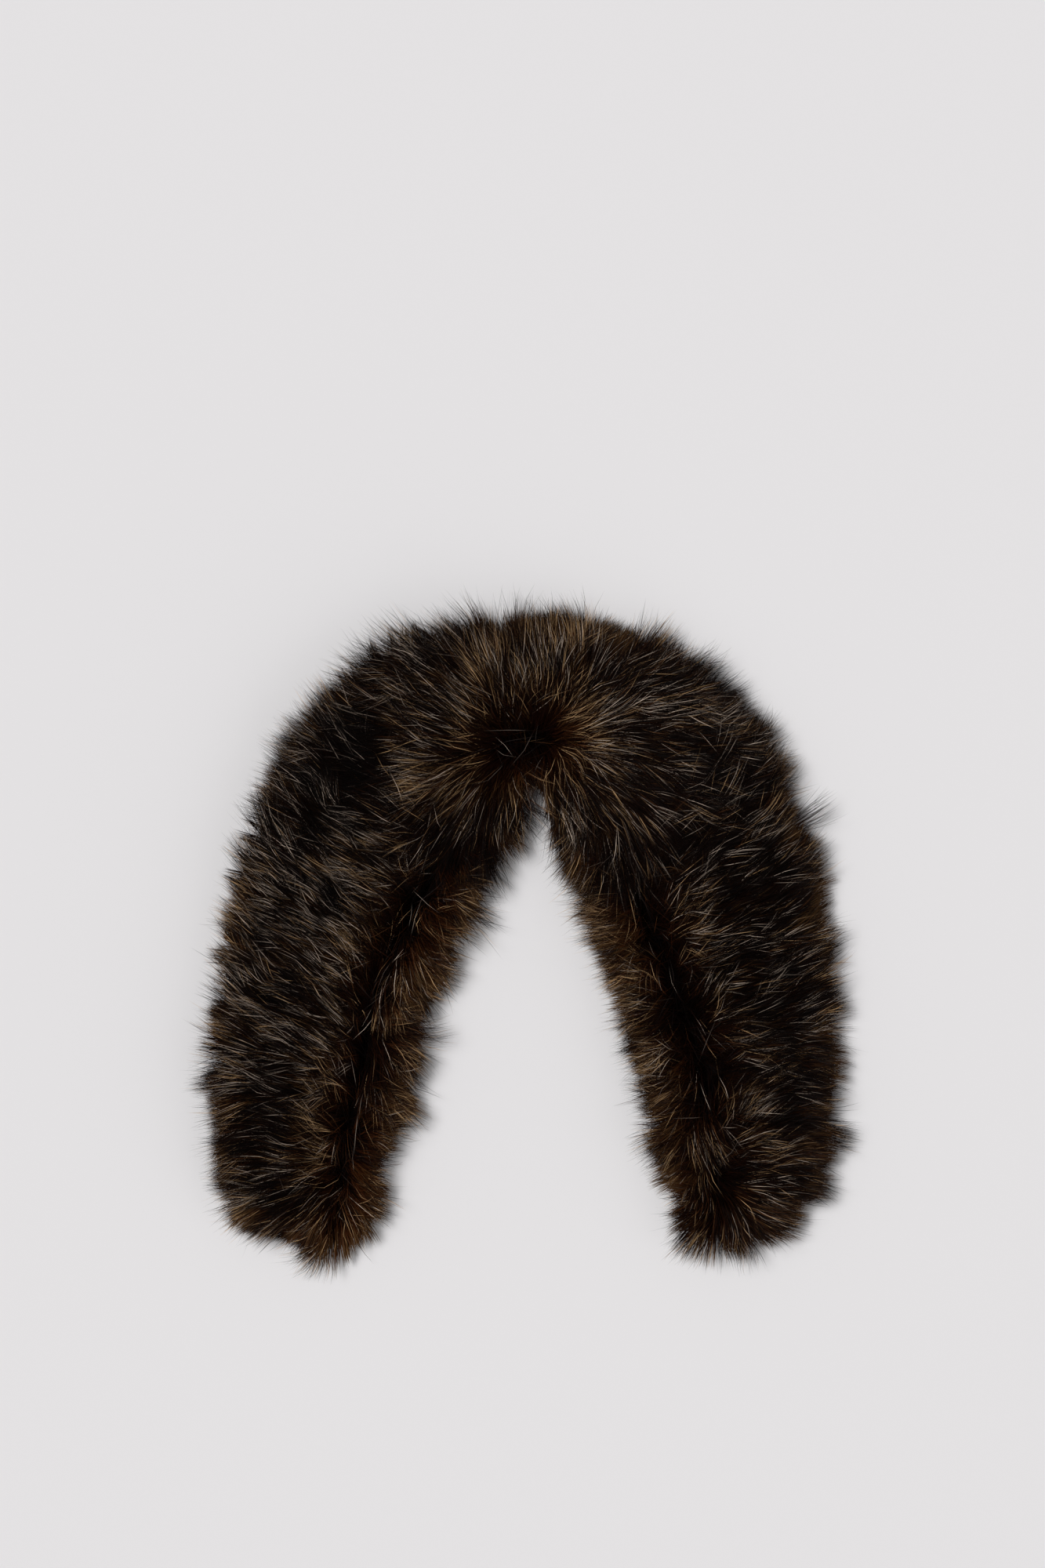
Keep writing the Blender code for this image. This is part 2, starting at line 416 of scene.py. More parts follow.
def sway(points, wavelength, rng):
    """A slow, uneven swing between about -1 and 1 over the plan."""
    heading = rng.uniform(0, tau, SWAY_WAVES)
    number = tau / (wavelength * rng.uniform(*SWAY_SPREAD, SWAY_WAVES))
    phase = rng.uniform(0, tau, SWAY_WAVES)
    along = points[:, :1] * np.cos(heading) + points[:, 1:2] * np.sin(heading)
    return np.sin(along * number + phase).sum(1) * (SWAY_HEIGHT / SWAY_WAVES)


BEND = 0.8  # below 1, a hair bends more near its root than near its tip


def bent(heading, turn, root_lift, tip_lift, length, steps):
    """The way of hairs from their roots: each leaves at its root lift in its heading, turns
    sideways and bends to its tip lift."""
    middles = (np.arange(steps) + 0.5) / steps
    lift = root_lift[:, None] + (tip_lift - root_lift)[:, None] * middles**BEND
    heading = heading[:, None] + turn[:, None] * middles
    step = np.stack(
        [np.cos(lift) * np.cos(heading), np.cos(lift) * np.sin(heading), np.sin(lift)], axis=-1
    )
    step *= (length / steps)[:, None, None]
    way = np.cumsum(step, axis=1)
    return np.concatenate([np.zeros_like(way[:, :1]), way], axis=1)


def gathered(ways, roots, owner, owner_ways, owner_roots, pull):
    """Hairs drawn to the hair that they belong to, the more the nearer to their tips."""
    steps = ways.shape[1]
    share = pull[:, None] * np.linspace(0, 1, steps)[None, :]
    own = roots[:, None] + ways
    lead = owner_roots[owner][:, None] + owner_ways[owner]
    return own + (lead - own) * share[..., None]


HAIR_TAPER = np.array([0.8, 1.0, 0.9, 0.6])  # a hair's width at each quarter of its length
BAKE_WIDTH = 0.004  # a hair's width in the bake map
BAKE_MARGIN = 0.01  # kept free along the edges of each half of the map
REACH_PAST_CAD = 22 * MM  # no hair goes further past the solids' box
REACH_OVER_CAD = 10 * MM  # or further over it
LOW_CLEARANCE = (0.4 * MM, 4 * MM)  # hairs that hang low come to lie between these heights


def ribbons(name, points, heading, width, roll, spot, stretch, finish, rng):
    """Hairs as flat ribbons that taper to a point, in one mesh. spot is their place across
    the bake map, and stretch where they begin and end up it."""
    hairs, rows = points.shape[0], points.shape[1]
    steps = rows - 1
    low, high = np.array(CAD_BOUNDS[0]), np.array(CAD_BOUNDS[1])
    points[..., :2] = np.clip(points[..., :2], low[:2] - REACH_PAST_CAD, high[:2] + REACH_PAST_CAD)
    points[..., 2] = np.maximum(points[..., 2], rng.uniform(*LOW_CLEARANCE, (hairs, 1)))
    points[..., 2] = np.minimum(points[..., 2], high[2] + REACH_OVER_CAD)
    along = unit(np.gradient(points, axis=1))
    side = np.stack([-np.sin(heading), np.cos(heading), np.zeros(hairs)], axis=-1)[:, None]
    face = np.cross(along, side)
    quarters = np.arange(len(HAIR_TAPER)) / len(HAIR_TAPER)
    taper = np.interp(np.arange(steps) / steps, quarters, HAIR_TAPER)
    half = np.cos(roll)[:, None, None] * side + np.sin(roll)[:, None, None] * face
    half = half[:, :steps] * (width[:, None] * taper / 2)[..., None]
    sides = np.stack([points[:, :steps] - half, points[:, :steps] + half], axis=2)
    vertices = np.concatenate([sides.reshape(hairs, 2 * steps, 3), points[:, -1:]], axis=1)

    quads = [[2 * row, 2 * row + 1, 2 * row + 3, 2 * row + 2] for row in range(steps - 1)]
    corners = np.array(sum(quads, []) + [2 * steps - 2, 2 * steps - 1, 2 * steps])
    sizes = np.array([4] * (steps - 1) + [3])
    corner = (np.arange(hairs)[:, None] * (2 * steps + 1) + corners).ravel()
    starts = np.concatenate([[0], np.cumsum(np.tile(sizes, hairs))[:-1]])
    mesh = bpy.data.meshes.new(name)
    mesh.vertices.add(hairs * (2 * steps + 1))
    mesh.vertices.foreach_set("co", vertices.astype(np.float32).ravel())
    mesh.loops.add(len(corner))
    mesh.loops.foreach_set("vertex_index", corner.astype(np.int32))
    mesh.polygons.add(len(starts))
    mesh.polygons.foreach_set("loop_start", starts.astype(np.int32))
    mesh.update(calc_edges=True)

    across = np.array([-1, 1] * steps + [0]) * BAKE_WIDTH / 2
    upwards = np.array([row / steps for row in range(steps) for _ in range(2)] + [1])
    begin, end = stretch
    spots = np.empty((hairs, 2 * steps + 1, 2), dtype=np.float32)
    spots[..., 0] = spot[:, None] + across
    up = begin[:, None] + (end - begin)[:, None] * upwards
    spots[..., 1] = np.clip(up, BAKE_MARGIN, 1 - BAKE_MARGIN)
    bake_map = mesh.uv_layers.new(name="OFBake")
    bake_map.data.foreach_set("uv", spots.reshape(-1, 2)[corner].ravel())
    mesh.shade_smooth()
    mesh.materials.append(finish)
    piece = bpy.data.objects.new(name, mesh)
    bpy.context.collection.objects.link(piece)
    return piece


NEAR_EDGE = (22 * MM, 70 * MM)  # with this much room, a hair lies as at the edge, or as inside
LEAST_LENGTH = 8 * MM
STEEPEST = radians(50)  # up to this lift, a steeper hair is longer, to reach as far
LUCK_SHARES = np.array([0.18, 0.34, 0.48])  # of the tuft, the lock and the hair in its colour
# Painted shade: where the pile is deep, hairs keep their dark root and shaft colours along their
# whole length.
ROOT_SHOWING = 0.80  # how much less of its way to the tip a hair shows where the pile is deep
UNEVEN_DEPTH = (0.0, 1.5)  # the depth of a lock as a share of the depth around it
BAND_SHIFTS = (0.06, 0.04)  # how far a lock and a hair have their colours further up or down
RIM_ROOM = (34 * MM, 56 * MM)  # hairs with less room than this end at the outline
# Near the outline, hairs are made more golden and paler. Part of this is the golden underfur that
# shows there, and part is painted glow of light through the hairs' edges.
RIM_GOLDEN_AND_GLOW = 0.95
RIM_CUT = (0.28, 0.8)  # how much of its tip a hair lacks there, and the share that lacks it
TIP_CUT = (0.20, 0.4)  # and the same away from the outline
PATCHES_LENGTH = (26 * MM, 38 * MM)  # how far apart pale patches and golden patches lie
PATCHES_SEEDS = (7, 8)
GOLDEN_PATCHY = 0.2  # how much more golden those patches are
GOLDEN_LUCK = (0.2, 0.8)  # a hair's luck is stretched between these to pick golden or smoky
COMBED_UNRULY = 0.35  # how much more the combed pile strays
# How far single wild hairs stray: sideways, in their turn, up or down, and in their length.
WILD_STRAYS = np.array([radians(35), radians(45), radians(6), 0.15])
WILD_GOLDEN = 0.2
WILD_PALEST = 0.69
CROSSING_SHARE = 0.9  # of the wild hairs in a parting, how many lie across it
CROSSING_STRAY = np.array([pi, 0, radians(10), 0.2])  # they run back, over the other hairs


def pile(name, cloth, count, kind, finish, seed):
    """The hairs of one kind on a cloth. Hairs stand in locks and locks in tufts, and each
    strays from the one that it belongs to. The rest comes from the cloth's fields."""
    rng = np.random.default_rng(seed)
    steps = kind["steps"]

    def strays_of(roots, level, owner=None, lead=None):
        """How far each tuft, lock or hair strays: veer, turn, swing, stretch and overhang."""
        strays = rng.normal(0, 1, (len(roots["at"]), 4)) * kind["strays"][level]
        unruly = 1 + kind["unruly"] * roots["parted"] + COMBED_UNRULY * roots["combed"]
        strays[:, :2] *= unruly[:, None]
        strays = np.column_stack([strays, rng.exponential(kind["overhangs"][level], len(strays))])
        return strays if owner is None else strays + lead[owner]

    def ways_of(roots, strays):
        """The heading at the root, and the way to the tip."""
        veer, turn, swing, stretch, overhang = strays.T
        nap_sway = sway(roots["at"], kind["sway_length"], np.random.default_rng(seed))
        heading = np.arctan2(roots["nap"][:, 1], roots["nap"][:, 0])
        heading = heading + kind["sway"] * nap_sway + veer
        inside = smooth(*NEAR_EDGE, roots["room"])
        lifts = []
        for at_edge, combed, upright, parted in zip(
            kind["edge_lifts"], kind["combed_lifts"], kind["upright_lifts"], kind["parted_lifts"]
        ):
            lift = upright + (combed - upright) * roots["combed"]
            lift = at_edge + (lift - at_edge) * inside
            lifts.append(lift + (parted - lift) * roots["parted"] + swing)
        reach = np.cos(np.clip((lifts[0] + lifts[1]) / 2, 0, STEEPEST))
        farthest = (roots["room"] + kind["least_overhang"] + overhang) / reach
        short, full = kind["lengths"]
        length = full + (short - full) * inside * (1 - roots["combed"])
        length = np.clip(length * (1 + stretch), LEAST_LENGTH, farthest)
        return heading, bent(heading, turn, *lifts, length, steps)

    tufts = scatter(cloth, round(count / kind["hairs_in_tuft"]), rng)
    tuft_strays = strays_of(tufts, 0)
    _, tuft_ways = ways_of(tufts, tuft_strays)

    locks = scatter(cloth, round(count / kind["hairs_in_lock"]), rng)
    tuft_of = nearest(locks["at"], tufts["at"])
    lock_strays = strays_of(locks, 1, tuft_of, tuft_strays)
    _, lock_ways = ways_of(locks, lock_strays)
    pull = np.full(len(tuft_of), kind["tuft_pull"])
    lock_points = gathered(lock_ways, locks["at"], tuft_of, tuft_ways, tufts["at"], pull)
    lock_ways = lock_points - locks["at"][:, None]

    hairs = scatter(cloth, count, rng)
    lock_of = nearest(hairs["at"], locks["at"])
    strays = strays_of(hairs, 2, lock_of, lock_strays)
    wild = rng.random(count) < np.interp(hairs["parted"], (0, 1), kind["wild_shares"])
    strays[wild, :4] += rng.normal(0, 1, (wild.sum(), 4)) * WILD_STRAYS
    crosses = wild & (rng.random(count) < CROSSING_SHARE * hairs["parted"])
    strays[crosses, :4] += CROSSING_STRAY
    heading, ways = ways_of(hairs, strays)
    pull = rng.uniform(*kind["lock_pulls"], len(tuft_of))[lock_of] * ~wild
    points = gathered(ways, hairs["at"], lock_of, lock_ways, locks["at"], pull)

    def luck():
        by_tuft, by_lock = rng.random(len(tufts["at"])), rng.random(len(tuft_of))
        drawn = [by_tuft[tuft_of][lock_of], by_lock[lock_of], rng.random(count)]
        return np.stack(drawn, axis=1) @ LUCK_SHARES

    rim = 1 - smooth(*RIM_ROOM, hairs["room"])
    tone = luck() + np.where(wild, kind["wild_pale"], hairs["pale"])
    tone = np.where(wild, np.minimum(tone, WILD_PALEST), tone)
    pale_patches, golden_patches = (
        sway(hairs["at"], patches_length, np.random.default_rng(patches_seed))
        for patches_length, patches_seed in zip(PATCHES_LENGTH, PATCHES_SEEDS)
    )
    tone = tone + kind["patchy"] * pale_patches
    # Painted glow at the outline: hairs there are made paler.
    tone = tone + kind["rim_glow_pale"] * rim + kind["parted_pale"] * hairs["parted"]
    golden = hairs["golden"] + GOLDEN_PATCHY * golden_patches
    golden = golden + (RIM_GOLDEN_AND_GLOW - golden) * rim
    is_golden = smooth(*GOLDEN_LUCK, luck()) < np.where(wild, WILD_GOLDEN, golden)
    begin = rng.normal(0, BAND_SHIFTS[0], len(tuft_of))[lock_of]
    begin = begin + rng.normal(0, BAND_SHIFTS[1], count)
    # Painted shade: where the pile is deep, hairs show only their dark root and shaft colours.
    depth = hairs["deep"] * rng.uniform(*UNEVEN_DEPTH, len(tuft_of))[lock_of] * ~wild
    shown = 1 - ROOT_SHOWING * np.clip(depth, 0, 1)
    shown = shown - RIM_CUT[0] * rim * (rng.random(count) < RIM_CUT[1])
    shown = shown - TIP_CUT[0] * (1 - rim) * (rng.random(count) < TIP_CUT[1])
    width = rng.uniform(*kind["widths"], count)
    roll = rng.normal(0, kind["roll"], count)
    spot = BAKE_MARGIN + (0.5 - 2 * BAKE_MARGIN) * smooth(*kind["pale_range"], tone)
    spot = spot + 0.5 * is_golden
    stretch = (begin, begin + shown)
    return ribbons(name, points, heading, width, roll, spot, stretch, finish, rng)


PRESSED_PILE = {
    "steps": 2,  # straight stretches from a hair's root to its tip
    "lengths": (34 * MM, 34 * MM),  # where the pile stands upright, and elsewhere
    "widths": (0.8 * MM, 1.2 * MM),
    "roll": radians(15),  # how far the ribbons are rolled on their length
    # How steeply hairs rise at the root and at the tip, near the outline and elsewhere.
    "edge_lifts": (radians(-5), radians(-12)),
    "combed_lifts": (radians(-5), radians(-8)),
    "upright_lifts": (radians(-5), radians(-8)),
    "parted_lifts": (radians(-5), radians(-8)),
    "sway": radians(10),
    "sway_length": 60 * MM,
    "hairs_in_tuft": 60,
    "hairs_in_lock": 8,
    "tuft_pull": 0.2,
    "lock_pulls": (0.3, 0.6),
    # How far a tuft, a lock in it and a hair in that stray: sideways, in their turn, up or
    # down, and in their share of the length. Then how far they pass the outline.
    "strays": (
        (radians(10), radians(8), radians(3), 0.05),
        (radians(8), radians(6), radians(3), 0.05),
        (radians(6), radians(6), radians(3), 0.05),
    ),
    "overhangs": (1 * MM, 1 * MM, 1 * MM),
    "least_overhang": -6 * MM,
    "unruly": 0,  # how much more hairs stray in a parting
    "wild_shares": (0, 0),  # of the hairs away from a parting, and in it
    "wild_pale": 0,
    "patchy": 0,
    "rim_glow_pale": 0,
    "parted_pale": 0,
    "pale_range": (0.30, 1.0),  # the darkest and the palest tone
}
UNDER_HAIRS = 6000
UNDER_GOLDEN = 0.5
ROOT = (0.0020, 0.0009, 0.0006)
# A row each for shaft, band and tip: the colours of the darkest, a middling and the palest hair.
SMOKY_UNDERFUR = (
    ((0.0030, 0.0010, 0.0005), (0.006, 0.0022, 0.001), (0.010, 0.004, 0.002)),
    ((0.0042, 0.0018, 0.0012), (0.013, 0.0058, 0.0038), (0.030, 0.0165, 0.0105)),
    ((0.0040, 0.0024, 0.0016), (0.014, 0.0085, 0.006), (0.038, 0.026, 0.017)),
)
GOLDEN_UNDERFUR = (
    ((0.006, 0.0015, 0.0005), (0.022, 0.0054, 0.0016), (0.054, 0.0165, 0.0048)),
    ((0.010, 0.0025, 0.001), (0.032, 0.0112, 0.0038), (0.098, 0.0495, 0.0185)),
    ((0.012, 0.0035, 0.0015), (0.043, 0.0180, 0.0065), (0.140, 0.078, 0.0310)),
)
UNDER_PILE = pile_finish(
    "under_pile", ROOT, SMOKY_UNDERFUR, GOLDEN_UNDERFUR,
    shaft_rise=(0.05, 0.35), band_rise=(0.45, 0.70), tip_rise=(0.85, 0.97), gloss=0.04,
)


def under_height(cloth):
    return np.full(len(cloth.place), UNDER_HEIGHT)


def add_under_half(side, start, end, seed):
    cloth = Cloth(f"under_half_{side}_cloth", start, end, -1, 1, under_height)
    edge = np.where((cloth.across < 0)[:, None], cloth.lay[:, OUTER], cloth.lay[:, NECK])
    cloth.lay_nap(unit(edge - cloth.lay[:, PARTING]))
    cloth.fields["golden"] = np.full(len(edge), UNDER_GOLDEN)
    for field in ("pale", "combed", "parted", "deep"):
        cloth.fields[field] = np.zeros(len(edge))
    cloth_piece = cloth.piece(BACKING)
    hair_piece = pile(
        f"under_half_{side}_pile", cloth, UNDER_HAIRS, PRESSED_PILE, UNDER_PILE, seed
    )
    for piece in (cloth_piece, hair_piece):
        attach(piece, "root")
    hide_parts(f"under_half_{side}")


add_under_half(
    "left", END_PLACE, CENTRE_BACK - SEAM, seed=11
)
add_under_half(
    "right", CENTRE_BACK + SEAM, RIGHT_END - END_PLACE, seed=12
)


# ============================================================================ Back panel
# The middle of the upper side: one panel of long-pile fake fur. Its backing is cut with the
# nap running outwards all round from one whorl, so its hairs overlap both arms.

SEWN_HEIGHT = 7.0 * MM  # the upper cloth's height where it is sewn to the under side
CLOTH_RIDGE = 0.42  # the cloth's height as a share of the pile's, on its ridges
CLOTH_PARTING = 0.48  # and at the parting
RIDGE_SHARE = 0.5  # a ridge lies this share of the way from an edge to the parting


def upper_height(cloth):
    """The upper cloth rises from its sewn edge to a ridge and dips at the parting."""
    outer_side = cloth.across < 0
    ridge = CLOTH_RIDGE * np.where(
        outer_side, cloth.lay[:, OUTER_RISE], cloth.lay[:, NECK_RISE]
    )
    parting = CLOTH_PARTING * cloth.lay[:, PARTING_RISE]
    up = np.clip(cloth.share / RIDGE_SHARE, 0, 1)
    rising = SEWN_HEIGHT + (ridge - SEWN_HEIGHT) * np.sqrt(1 - (1 - up) ** 2)
    falling = ridge + (parting - ridge) * smooth(RIDGE_SHARE, 1, cloth.share)
    return np.where(cloth.share < RIDGE_SHARE, rising, falling)


UNDERFUR_KIND = {
    "steps": 2,
    "lengths": (27 * MM, 33 * MM),
    "widths": (0.45 * MM, 0.75 * MM),
    "roll": radians(35),
    "edge_lifts": (radians(24), radians(-10)),
    "combed_lifts": (radians(58), radians(22)),
    "upright_lifts": (radians(64), radians(30)),
    "parted_lifts": (radians(72), radians(35)),
    "sway": radians(10),
    "sway_length": 50 * MM,
    "hairs_in_tuft": 100,
    "hairs_in_lock": 10,
    "tuft_pull": 0.3,
    "lock_pulls": (0.25, 0.6),
    "strays": (
        (radians(8), radians(8), radians(5), 0.05),
        (radians(7), radians(6), radians(4), 0.05),
        (radians(7), radians(6), radians(4), 0.05),
    ),
    "overhangs": (4 * MM, 2 * MM, 1.5 * MM),
    "least_overhang": -4.5 * MM,
    "unruly": 1.5,
    "wild_shares": (0, 0),
    "wild_pale": 0,
    "patchy": 0.05,
    # Painted glow: underfur at the outline is made much paler.
    "rim_glow_pale": 0.46,
    "parted_pale": -0.25,
    "pale_range": (0.25, 0.85),
}
GUARD_KIND = {
    "steps": 3,
    "lengths": (41 * MM, 50 * MM),
    "widths": (0.18 * MM, 0.46 * MM),
    "roll": radians(50),
    "edge_lifts": (radians(30), radians(-8)),
    "combed_lifts": (radians(56), radians(5)),
    "upright_lifts": (radians(62), radians(18)),
    "parted_lifts": (radians(62), radians(9)),
    "sway": radians(9),
    "sway_length": 45 * MM,
    "hairs_in_tuft": 80,
    "hairs_in_lock": 3,
    "tuft_pull": 0.45,
    "lock_pulls": (0.2, 0.8),
    "strays": (
        (radians(9), radians(12), radians(7), 0.10),
        (radians(8), radians(10), radians(7), 0.10),
        (radians(7), radians(7), radians(5), 0.10),
    ),
    "overhangs": (6 * MM, 3 * MM, 7 * MM),
    "least_overhang": -12 * MM,
    "unruly": 2,
    "wild_shares": (0.003, 0.06),
    "wild_pale": 0.06,
    "patchy": 0.06,
    "rim_glow_pale": 0.04,
    "parted_pale": -0.02,
    "pale_range": (0.555, 0.825),
}
UNDERFUR = pile_finish(
    "underfur", ROOT, SMOKY_UNDERFUR, GOLDEN_UNDERFUR,
    shaft_rise=(0.05, 0.30), band_rise=(0.35, 0.65), tip_rise=(0.70, 0.95), gloss=0.04,
)
GUARD_HAIR = pile_finish(
    "guard_hair", ROOT,
    smoky=(
        ((0.0032, 0.0012, 0.0009), (0.009, 0.0033, 0.002), (0.024, 0.010, 0.006)),
        ((0.0027, 0.0015, 0.0013), (0.028, 0.0195, 0.0180), (0.690, 0.550, 0.440)),
        ((0.0015, 0.0012, 0.0011), (0.003, 0.0025, 0.0023), (0.018, 0.014, 0.012)),
    ),
    golden=(
        ((0.010, 0.0022, 0.0009), (0.038, 0.0105, 0.0031), (0.100, 0.034, 0.0110)),
        ((0.007, 0.0021, 0.0010), (0.074, 0.0290, 0.0110), (0.570, 0.355, 0.176)),
        ((0.002, 0.0010, 0.0006), (0.009, 0.0040, 0.0018), (0.036, 0.019, 0.009)),
    ),
    shaft_rise=(0.05, 0.28), band_rise=(0.34, 0.52), tip_rise=(0.76, 0.94), gloss=0.06,
)
UNDERFUR_DENSITY = 0.70e6  # hairs on a square metre of cloth
GUARD_DENSITY = 1.10e6


def add_upper_piece(name, cloth, seed):
    """A sewn piece of the upper side: its cloth, the underfur and the guard hairs."""
    cloth_piece = cloth.piece(BACKING)
    cloth_area = cloth.areas().sum()
    underfur_hairs = round(cloth_area * UNDERFUR_DENSITY)
    guard_hairs = round(cloth_area * GUARD_DENSITY)
    underfur = pile(f"{name}_underfur", cloth, underfur_hairs, UNDERFUR_KIND, UNDERFUR, seed)
    guard = pile(f"{name}_guard_hair", cloth, guard_hairs, GUARD_KIND, GUARD_HAIR, seed + 1)
    for piece in (cloth_piece, underfur, guard):
        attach(piece, "root")
    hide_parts(name)


WHORL = MM * np.array([[-10, 139], [12, 142]])  # the ends of the whorl's short ridge
# Which way the nap runs on the panel: x and y in millimetres, and degrees from +X.
PANEL_NAP = (
    (-40, 228, 135), (6, 228, 90), (59, 228, 58), (106, 211, 34), (147, 187, 32),
    (167, 155, 24), (129, 141, 4), (88, 111, -14), (109, 88, -25), (76, 73, -70),
    (47, 62, -98), (24, 82, -75), (-11, 76, -80), (-55, 85, -132), (-75, 102, -162),
    (-96, 102, 171), (-116, 111, 162), (-137, 135, 155), (-157, 170, 132),
    (-128, 199, 148), (-96, 199, 167), (-96, 140, 173), (-64, 181, 158),
)
WHORL_PULL = 4  # how much more the whorl steers the nap than a row of the table does
NAP_SOFTNESS = 10 * MM
WHORL_WANDER = 3 * MM  # how far the whorl's dark zone wanders in and out
WHORL_WAVES = 26 * MM
WHORL_SEED = 6
PANEL_LOOKS = (-0.03, 0.35)  # how pale and how golden the panel is away from its whorl
# What changes at the whorl: how much in its middle, and from where to where that fades out.
# The darker, deeper middle is painted shade, where one looks down into the roots.
WHORL_SHADE_DARKER = (0.25, 0, 13 * MM)
WHORL_GOLDEN = (0.45, 10 * MM, 32 * MM)
WHORL_PARTED = (0.75, 10 * MM, 30 * MM)
WHORL_DEEP_SHADE = (0.55, 0, 10 * MM)
SHOWN_AHEAD = 15 * MM  # a hair shows this far along its nap from its root
# Where the collar is paler, darker, more golden or more smoky than around: x, y and reach in
# millimetres, then how much paler and how much more golden. The paleness is partly the hair's
# own tone and partly painted sheen where the hair lies to catch the light.
TONE_AND_SHEEN_PATCHES = (
    (-116, 156, 20, -0.08, -0.3), (-114, 122, 24, -0.13, -0.2), (-114, 98, 16, -0.12, 0.0),
    (-79, 212, 12, 0.12, 0.1), (-140, 112, 22, -0.03, -0.3), (-160, 74, 20, -0.08, -0.1),
    (-160, 106, 18, -0.05, -0.1), (-182, 68, 20, -0.04, -0.1), (-202, 52, 16, 0.14, 0.2),
    (-172, 168, 20, 0.04, 0.0), (-145, 30, 24, 0.04, -0.2), (-126, -14, 18, 0.14, 0.2),
    (-84, 176, 20, 0.08, 0.1), (-46, 66, 20, -0.28, 0.0), (-76, 130, 16, 0.10, 0.2),
    (-66, 110, 18, 0.20, 0.2), (-42, 116, 14, 0.12, 0.2), (-122, 52, 14, 0.14, 0.0),
    (-92, 120, 14, -0.10, 0.0), (-92, 88, 12, -0.10, 0.0), (-56, 140, 10, -0.10, 0.3),
    (-38, 166, 16, 0.12, 0.1), (-26, 192, 12, 0.28, 0.1), (-18, 112, 16, 0.12, 0.2),
    (14, 112, 14, 0.08, 0.2), (-14, 204, 24, 0.00, 0.4), (28, 160, 24, 0.18, 0.3),
    (38, 144, 14, 0.14, 0.2), (36, 86, 12, 0.12, 0.1), (66, 20, 12, 0.12, 0.1),
    (76, 38, 14, -0.14, 0.1), (34, 212, 16, 0.20, 0.2), (60, 98, 20, -0.06, 0.2),
    (92, 84, 18, -0.08, 0.1), (66, 114, 12, 0.10, 0.0), (132, 150, 12, 0.08, 0.0),
    (98, 54, 16, -0.10, 0.1), (126, 126, 16, -0.10, 0.0), (116, 100, 14, 0.10, 0.0),
    (184, 120, 18, 0.10, 0.1), (145, 50, 30, -0.04, -0.1), (148, 22, 14, -0.10, 0.0),
    (88, 14, 20, 0.08, 0.2), (126, 12, 20, 0.16, 0.1), (76, -40, 18, 0.12, 0.1),
    (170, -4, 20, 0.04, 0.0), (146, -55, 14, 0.14, 0.1), (142, -102, 18, -0.10, 0.0),
    (98, -92, 10, 0.12, 0.0), (158, -140, 16, 0.16, 0.1), (180, -162, 14, 0.06, 0.1),
    (200, -150, 18, -0.12, 0.0), (92, -136, 12, -0.18, 0.0), (114, -178, 12, -0.12, 0.0),
    (86, -80, 12, -0.14, 0.0), (150, -188, 16, 0.10, 0.1), (-140, -98, 20, 0.06, 0.2),
    (-140, -128, 18, 0.12, 0.2), (-180, -114, 22, -0.06, 0.0), (-208, -148, 20, -0.10, 0.0),
    (-174, -140, 18, -0.08, 0.0), (-150, -164, 22, 0.16, 0.3), (-207, -208, 12, 0.30, 0.1),
    (-176, -205, 16, -0.12, 0.0), (-140, -228, 16, 0.34, 0.2),
)


def panel_nap(plan):
    """The panel's nap: outwards from the whorl, steered further out by the table."""
    guides = np.array(PANEL_NAP, dtype=float)
    offsets = plan[:, None, :] - guides[None, :, :2] * MM
    pull = (np.square(offsets).sum(2) + NAP_SOFTNESS**2) ** -1.5
    headings = np.radians(guides[:, 2])
    steered = pull @ np.column_stack([np.cos(headings), np.sin(headings)])
    ridge = WHORL[1] - WHORL[0]
    share = np.clip((plan - WHORL[0]) @ ridge / (ridge @ ridge), 0, 1)
    from_whorl = plan - (WHORL[0] + share[:, None] * ridge)
    distance = np.linalg.norm(from_whorl, axis=1)
    whorl_pull = WHORL_PULL * (distance**2 + NAP_SOFTNESS**2) ** -1.5
    return unit(steered + (whorl_pull / distance)[:, None] * from_whorl), distance


def fading(amount, near, far, distance):
    """The whole amount up to a near distance and none of it from a far one on."""
    return amount * (1 - smooth(near, far, distance))


panel = Cloth("back_panel_cloth", LEFT_JOIN + SEAM, RIGHT_JOIN - SEAM, -1, 1, upper_height)
nap, from_whorl = panel_nap(panel.plan)
wander = sway(panel.plan, WHORL_WAVES, np.random.default_rng(WHORL_SEED))
from_whorl = from_whorl + WHORL_WANDER * wander
panel.lay_nap(nap)
showing = panel.plan + nap * SHOWN_AHEAD
panel.fields["pale"] = PANEL_LOOKS[0] + bumps(showing, TONE_AND_SHEEN_PATCHES, 0)
# Painted shade: the whorl's middle is made darker.
panel.fields["pale"] -= fading(*WHORL_SHADE_DARKER, from_whorl)
panel.fields["golden"] = PANEL_LOOKS[1] + bumps(showing, TONE_AND_SHEEN_PATCHES, 1)
panel.fields["golden"] += fading(*WHORL_GOLDEN, from_whorl)
panel.fields["combed"] = np.ones(len(nap))
panel.fields["parted"] = fading(*WHORL_PARTED, from_whorl)
panel.fields["deep"] = fading(*WHORL_DEEP_SHADE, from_whorl)
add_upper_piece("back_panel", panel, seed=21)


# =========================================================================== Outer bands
# The wide band on top of each arm, of the same fur cloth. Its nap runs from the parting to
# the outer edge and slants along the arm; it fans out round the arm's end.

